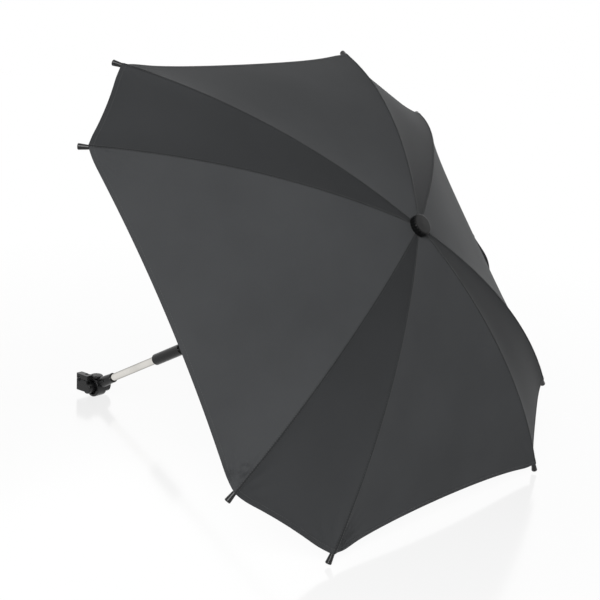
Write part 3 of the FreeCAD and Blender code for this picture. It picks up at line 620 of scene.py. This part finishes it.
# The finishes
CLOTH = cloth_finish("canopy_cloth", dark=0.048, light=0.062)
# The corner panels' cloth is the same fabric painted darker as painted shade for its weaker sheen, and
# painted paler towards the hem as painted light.
SHADED_CORNER_CLOTH = cloth_finish("shaded_corner_cloth", dark=0.026, light=0.049, painted_fade=0.7)
# The seams' cloth is the same fabric painted darker, a painted shade for the shadow line along each lapped
# seam.
SHADED_SEAM_CLOTH = cloth_finish("seam_cloth", dark=0.026, light=0.034)
STRAP_CLOTH = cloth_finish("strap_webbing", dark=0.014, light=0.022)
THREAD = thread_finish("sewing_thread", dark=0.02, light=0.034)
GLOSS = plastic_finish("gloss_black", 0.006, roughness=0.22, grain=0.03, grain_scale=500.0)
CROWN_BLACK = plastic_finish("crown_black", 0.005, roughness=0.34, grain=0.05, grain_scale=900.0, gloss=0.09)
SATIN = plastic_finish("satin_black", 0.009, roughness=0.27, grain=0.10, grain_scale=1400.0)
RUBBER = plastic_finish("grip_rubber", 0.022, roughness=0.75, grain=0.35, grain_scale=900.0)
NYLON = plastic_finish("plain_nylon", 0.5, roughness=0.45, grain=0.08, grain_scale=700.0)
CHROME = metal_finish("chrome", (0.74, 0.72, 0.68), 0.09, streak=0.03, stretch=ALONG_POLE)
STEEL = metal_finish("zinc_steel", (0.52, 0.52, 0.53), 0.32, streak=0.15, stretch=ALONG_BAR)
BLACK_STEEL = metal_finish("blackened_steel", (0.055, 0.055, 0.058), 0.34, streak=0.12, stretch=ALONG_BAR)
LACQUER = painted_finish("lacquered_steel", dark=0.016, light=0.028)

SLOT_FINISH = {
    "rib_steel": LACQUER,
    "gloss_black": GLOSS,
    "satin_black": SATIN,
    "inner_plastic": NYLON,
    "chrome_tube": CHROME,
    "steel_hardware": STEEL,
    "grip_rubber": RUBBER,
}
OWN_FINISH = {
    "clamp_screw": BLACK_STEEL,
    "socket_pin": BLACK_STEEL,
    "swivel_bolt": BLACK_STEEL,
    "crown_cap": CROWN_BLACK,
}


def dress_nodes():
    """Gives each rigid node its finish."""
    for name, thing in nodes.items():
        finish = OWN_FINISH.get(name) or SLOT_FINISH.get(slot_of[name])
        if finish is None:
            continue
        thing.data.materials.clear()
        thing.data.materials.append(finish)


def half_panel(panel, from_first):
    """Half of a panel's cloth, from one rib to the panel's middle, with its flat size and area."""
    upper, lower = [], []
    for row in range(ROWS + 1):
        along = 1 - (1 - row / ROWS) ** ROW_POWER
        tops, feet = [], []
        for share in panel.shares(from_first):
            x = CLOTH_HOLE + (panel.hem(share) - CLOTH_HOLE) * along
            tops.append(panel.place(x, share, CLOTH_THICKNESS))
            feet.append(panel.place(x, share))
        upper.append(tops)
        lower.append(feet)
    points, faces = shell(upper, lower)
    cloth = piece(panel.half_name("canopy", from_first), points, faces, [panel.cloth()])
    at_rib = 0 if from_first else -1
    slant = sum((upper[i + 1][at_rib] - upper[i][at_rib]).length for i in range(ROWS))
    across = (upper[-1][0] - upper[-1][-1]).length
    area = sum(face.area for face in cloth.data.polygons) / 2 / CLOTH_STRETCH
    return cloth, (across, slant), area


def fold_axis(panel, from_first):
    """The direction from a rib to the panel's middle, square to the rib, and a point on the rib."""
    rib_share = 0 if from_first else 1
    inner = panel.place(CLOTH_HOLE, rib_share)
    outer = panel.place(HEM_RADIUS, rib_share)
    middle = panel.place(panel.hem(MIDDLE), MIDDLE)
    along = (outer - inner).normalized()
    away = middle - outer
    return (away - along * away.dot(along)).normalized(), inner.lerp(outer, 0.5)


def hem_band(panel, from_first):
    """The turned and stitched edge of half a panel."""
    sections, line, ups = [], [], []
    top = CLOTH_THICKNESS + HEM_RISE
    flat = HEM_WIDTH - HEM_RISE
    for share in panel.shares(from_first):
        edge = panel.hem(share)
        inside = edge - HEM_WIDTH
        across = [inside + HEM_RISE + flat * i / HEM_STEPS for i in range(HEM_STEPS + 1)]
        fold = HEM_FOLD * (1 - panel.over_cap(edge, share))
        section = [panel.place(inside, share, CLOTH_THICKNESS / 2)]
        section += [panel.place(x, share, top) for x in across]
        section.append(panel.place(edge + HEM_FOLD / 2, share, top / 2))
        section += [panel.place(x, share, -fold) for x in reversed(across)]
        sections.append(section)
        line.append(panel.place(edge - HEM_STITCH_AWAY, share, top))
        ups.append(panel.outward(edge, share))
    points, faces, kinds = joined((0, loft(sections)), (1, stitches(line, ups)))
    return piece(panel.half_name("hem", from_first), points, faces, [panel.cloth(), THREAD], kinds)


def seam(index):
    """The lapped seam that runs along a rib, with its two rows of stitches."""
    after = PANELS[index]
    before = PANELS[index - 1]

    def beside(x, aside, rise):
        if aside >= 0:
            return after.place(x, aside / after.width(x), rise)
        return before.place(x, 1 + aside / before.width(x), rise)

    # The seam's section: places across it as shares of its half width, and their rise
    top = CLOTH_THICKNESS + SEAM_RISE
    profile = [
        (-1, CLOTH_THICKNESS / 2),
        (-SEAM_EDGE, top * SEAM_EDGE_RISE),
        (-SEAM_FLAT, top),
        (0, top + SEAM_RISE / 3),
        (SEAM_FLAT, top),
        (SEAM_EDGE, top * SEAM_EDGE_RISE),
        (1, CLOTH_THICKNESS / 2),
        (0, CLOTH_THICKNESS / 3),
    ]
    sections = []
    lines = {-1: ([], []), 1: ([], [])}
    run = HEM_RADIUS - CORNER_CUT - SEAM_START
    for i in range(SEAM_STEPS + 1):
        x = SEAM_START + run * i / SEAM_STEPS
        widening = smooth(SEAM_NARROW_UNTIL, SEAM_WIDE_FROM, x)
        half_width = SEAM_HALF_WIDTH * (SEAM_CROWN_SHARE + (1 - SEAM_CROWN_SHARE) * widening)
        sections.append([beside(x, half_width * aside, rise) for aside, rise in profile])
        for sign, (line, ups) in lines.items():
            line.append(beside(x, sign * SEAM_STITCH_AWAY, top))
            if sign > 0:
                ups.append(after.outward(x, SEAM_NORMAL_SHARE))
            else:
                ups.append(before.outward(x, 1 - SEAM_NORMAL_SHARE))
    sewn = [(1, stitches(line, ups)) for line, ups in lines.values()]
    points, faces, kinds = joined((0, loft(sections)), *sewn)
    # The seam's cloth is painted darker than the panels, as painted shade along the seam.
    return piece("seam_%d" % (index + 1), points, faces, [SHADED_SEAM_CLOTH, THREAD], kinds)


def canopy():
    """All of the cloth: each half panel and its hem ride on a rib."""
    for index, panel in enumerate(PANELS):
        rib_seam = seam(index)
        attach(rib_seam, "rib_%d" % (index + 1))
        for from_first in (True, False):
            rib = panel.rib(from_first)
            cloth, flat, area = half_panel(panel, from_first)
            hem = hem_band(panel, from_first)
            axis, anchor = fold_axis(panel, from_first)
            for soft in (cloth, hem):
                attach(soft, "rib_%d" % rib)
                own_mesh(soft)
            if from_first:
                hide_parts("panel_%d" % panel.number)


# The closing strap: it runs out from under the hem and curls up, least at its ends
STRAP_LENGTH = 0.067
STRAP_WIDTH = 0.014
STRAP_RUN = 0.0115
STRAP_THICKNESS = 0.0012
STRAP_OVERLAP = 0.004
STRAP_UNDER = 0.0001
STRAP_LIFT = 0.008
STRAP_END_LOSS = 0.6
STRAP_SWAY = 0.0012
STRAP_ASIDE = 0.012
STRAP_STEPS = 24
STRAP_ROUNDING = 0.04
STRAP_EDGE = 0.55
STRAP_ACROSS = (0, STRAP_ROUNDING, 0.5, 1 - STRAP_ROUNDING, 1)

# The snap button, with its rings' radii and heights as shares of its own
BUTTON_RADIUS = 0.004
BUTTON_RISE = 0.0022
BUTTON_INSET = 0.006
BUTTON_BACK = 0.0046
BUTTON_LIFT = 0.6 * STRAP_LIFT
BUTTON_SIDES = 32
BUTTON_RINGS = ((1, -0.0002), (1, 0.4), (0.86, 0.75), (0.55, 0.95), (0.42, 0.8), (0.1, 0.78))


def closing_strap():
    """A webbing strap sewn under one wide hem, with a snap button near its end."""
    panel = PANELS[STRAP_PANEL - 1]
    x = panel.hem(MIDDLE)
    width = panel.width(x)
    ups = panel.outward(x, MIDDLE)
    ahead = (panel.place(x + NORMAL_STEP, MIDDLE) - panel.place(x - NORMAL_STEP, MIDDLE)).normalized()
    middle = MIDDLE - STRAP_ASIDE / width

    def on_strap(share, across, lift):
        """A point of the strap's upper side, across it from the sewn edge to the free one."""
        edge = panel.place(panel.hem(share), share, -HEM_FOLD - STRAP_UNDER)
        return edge + ahead * (STRAP_RUN * across - STRAP_OVERLAP) + ups * (lift * across * across)

    upper, lower = [], []
    for i in range(STRAP_STEPS + 1):
        along = i / STRAP_STEPS
        share = middle + STRAP_LENGTH / width * (along - 0.5)
        sway = STRAP_SWAY * math.sin(math.tau * along)
        lift = STRAP_LIFT * (1 - STRAP_END_LOSS * (2 * along - 1) ** 2)
        tops, feet = [], []
        for across in STRAP_ACROSS:
            spot = on_strap(share, across, lift + sway)
            thin = STRAP_THICKNESS * (STRAP_EDGE if across in (0, 1) else 1)
            tops.append(spot - ups * (STRAP_THICKNESS - thin) / 2)
            feet.append(spot - ups * (STRAP_THICKNESS + thin) / 2)
        upper.append(tops)
        lower.append(feet)
    points, faces = shell(upper, lower)
    strap = piece("strap", points, faces, [STRAP_CLOTH])

    share = middle + (STRAP_LENGTH / 2 - BUTTON_INSET) / width
    seat = on_strap(share, 1 - BUTTON_BACK / STRAP_WIDTH, BUTTON_LIFT)
    side = ups.cross(ahead).normalized()
    rings = []
    for radius, rise in BUTTON_RINGS:
        centre = seat + ups * (BUTTON_RISE * rise)
        rings.append(ring(centre, ahead, side, BUTTON_RADIUS * radius, BUTTON_SIDES))
    points, faces = loft(rings)
    button = piece("snap_button", points, faces, [GLOSS])

    axis, anchor = fold_axis(panel, True)
    for soft, node, slot in ((strap, "closing_strap", "cloth"), (button, "strap_button", "gloss_black")):
        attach(soft, "rib_2")
        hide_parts(node)
        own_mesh(soft)


# The floor, which glows white to the camera but for what it keeps of the shadow and of a faint reflection
FLOOR_HEIGHT = cad_low.z
FLOOR_MIDDLE = 0.4
FLOOR_RADIUS = 6.0
FLOOR_SEGMENTS = 96
FLOOR_COLOUR = (0.9, 0.9, 0.9, 1)
FLOOR_GLOW = 0.94
SHADOW_RADIUS = 0.5
CLEAR_RADIUS = 1.6
FLOOR_IOR = 1.25
FLOOR_ROUGHNESS = 0.14


def floor():
    """A round white floor under the lowest point of the part."""
    mesh = bpy.data.meshes.new("floor")
    shape = bmesh.new()
    bmesh.ops.create_circle(shape, cap_ends=True, segments=FLOOR_SEGMENTS, radius=FLOOR_RADIUS)
    shape.to_mesh(mesh)
    shape.free()
    ground = bpy.data.objects.new("floor", mesh)
    ground.location = (FLOOR_MIDDLE, 0, FLOOR_HEIGHT)
    bpy.context.scene.collection.objects.link(ground)
    made = Finish("white_floor")
    made.set(base_color=FLOOR_COLOUR, roughness=0.5, specular_ior_level=0.0)
    glow = made.add("ShaderNodeEmission", {"Color": WHITE, "Strength": 1.0})
    away = made.vector_value("LENGTH", made.place)
    clear = made.ranged(away, low=FLOOR_GLOW, high=1.0, start=SHADOW_RADIUS, end=CLEAR_RADIUS)
    share = made.maths("MULTIPLY", made.seen(), clear)
    matt = made.add("ShaderNodeMixShader", {"Fac": share, 1: made.shader.outputs[0], 2: glow.outputs[0]})
    gloss = made.add("ShaderNodeBsdfGlossy", {"Color": WHITE, "Roughness": FLOOR_ROUGHNESS})
    fresnel = made.add("ShaderNodeFresnel", {"IOR": FLOOR_IOR}).outputs[0]
    both = made.add("ShaderNodeMixShader", {"Fac": fresnel, 1: matt.outputs[0], 2: gloss.outputs[0]})
    made.join(both.outputs[0], made.tree.nodes["Material Output"].inputs["Surface"])
    mesh.materials.append(made.material)


# Light
AMBIENT = 0.06
LIT_SPOT = Vector((0.5, 0, 0.25))
LAMP_SIZE = 1.8
LAMPS = {
    "key": ((1.9, -1.9, 1.9), 74),
    "far_front": ((2.4, 1.9, 1.5), 4),
    "far_side": ((0.7, 2.8, 1.4), 14),
    "back_fill": ((-1.6, 1.6, 1.9), 3),
}


def world():
    """Even light from all round, which looks white to the camera and in reflections."""
    sky = bpy.data.worlds.new("studio")
    sky.use_nodes = True
    made = NodeTree(sky.node_tree)
    back = made.tree.nodes["Background"]
    made.join(WHITE, back.inputs["Color"])
    made.join(made.ranged(made.seen(), AMBIENT, 1.0, start=0.0, end=1.0), back.inputs["Strength"])
    bpy.context.scene.world = sky


def lamps():
    """Round soft lamps that all point at the part, each with its place and its power in watts."""
    for name, (spot, power) in LAMPS.items():
        lamp = bpy.data.lights.new(name, "AREA")
        lamp.shape = "DISK"
        lamp.size = LAMP_SIZE
        lamp.energy = power
        holder = bpy.data.objects.new(name, lamp)
        holder.location = spot
        holder.rotation_euler = (LIT_SPOT - Vector(spot)).to_track_quat("-Z", "Y").to_euler()
        bpy.context.scene.collection.objects.link(holder)


# The camera that was fitted to the rib tips and the crown in the photo
CAMERA_SPOT = Vector((1.7084, -1.4645, 0.7022))
CAMERA_AIM = Vector((-0.62912, 0.73868, -0.24177))
CAMERA_ROLL = math.radians(2.599)
FOCAL_PIXELS = 1419.9
IMAGE_PIXELS = 600
SENSOR_WIDTH = 36.0


def camera():
    lens = bpy.data.cameras.new("camera")
    lens.sensor_width = SENSOR_WIDTH
    lens.lens = FOCAL_PIXELS / IMAGE_PIXELS * SENSOR_WIDTH
    holder = bpy.data.objects.new("camera", lens)
    turn = CAMERA_AIM.to_track_quat("-Z", "Y").to_matrix() @ Matrix.Rotation(CAMERA_ROLL, 3, "Z")
    holder.matrix_world = Matrix.Translation(CAMERA_SPOT) @ turn.to_4x4()
    bpy.context.scene.collection.objects.link(holder)
    bpy.context.scene.camera = holder


dress_nodes()
canopy()
closing_strap()
floor()
world()
lamps()
camera()
bpy.context.scene.view_settings.view_transform = "Standard"
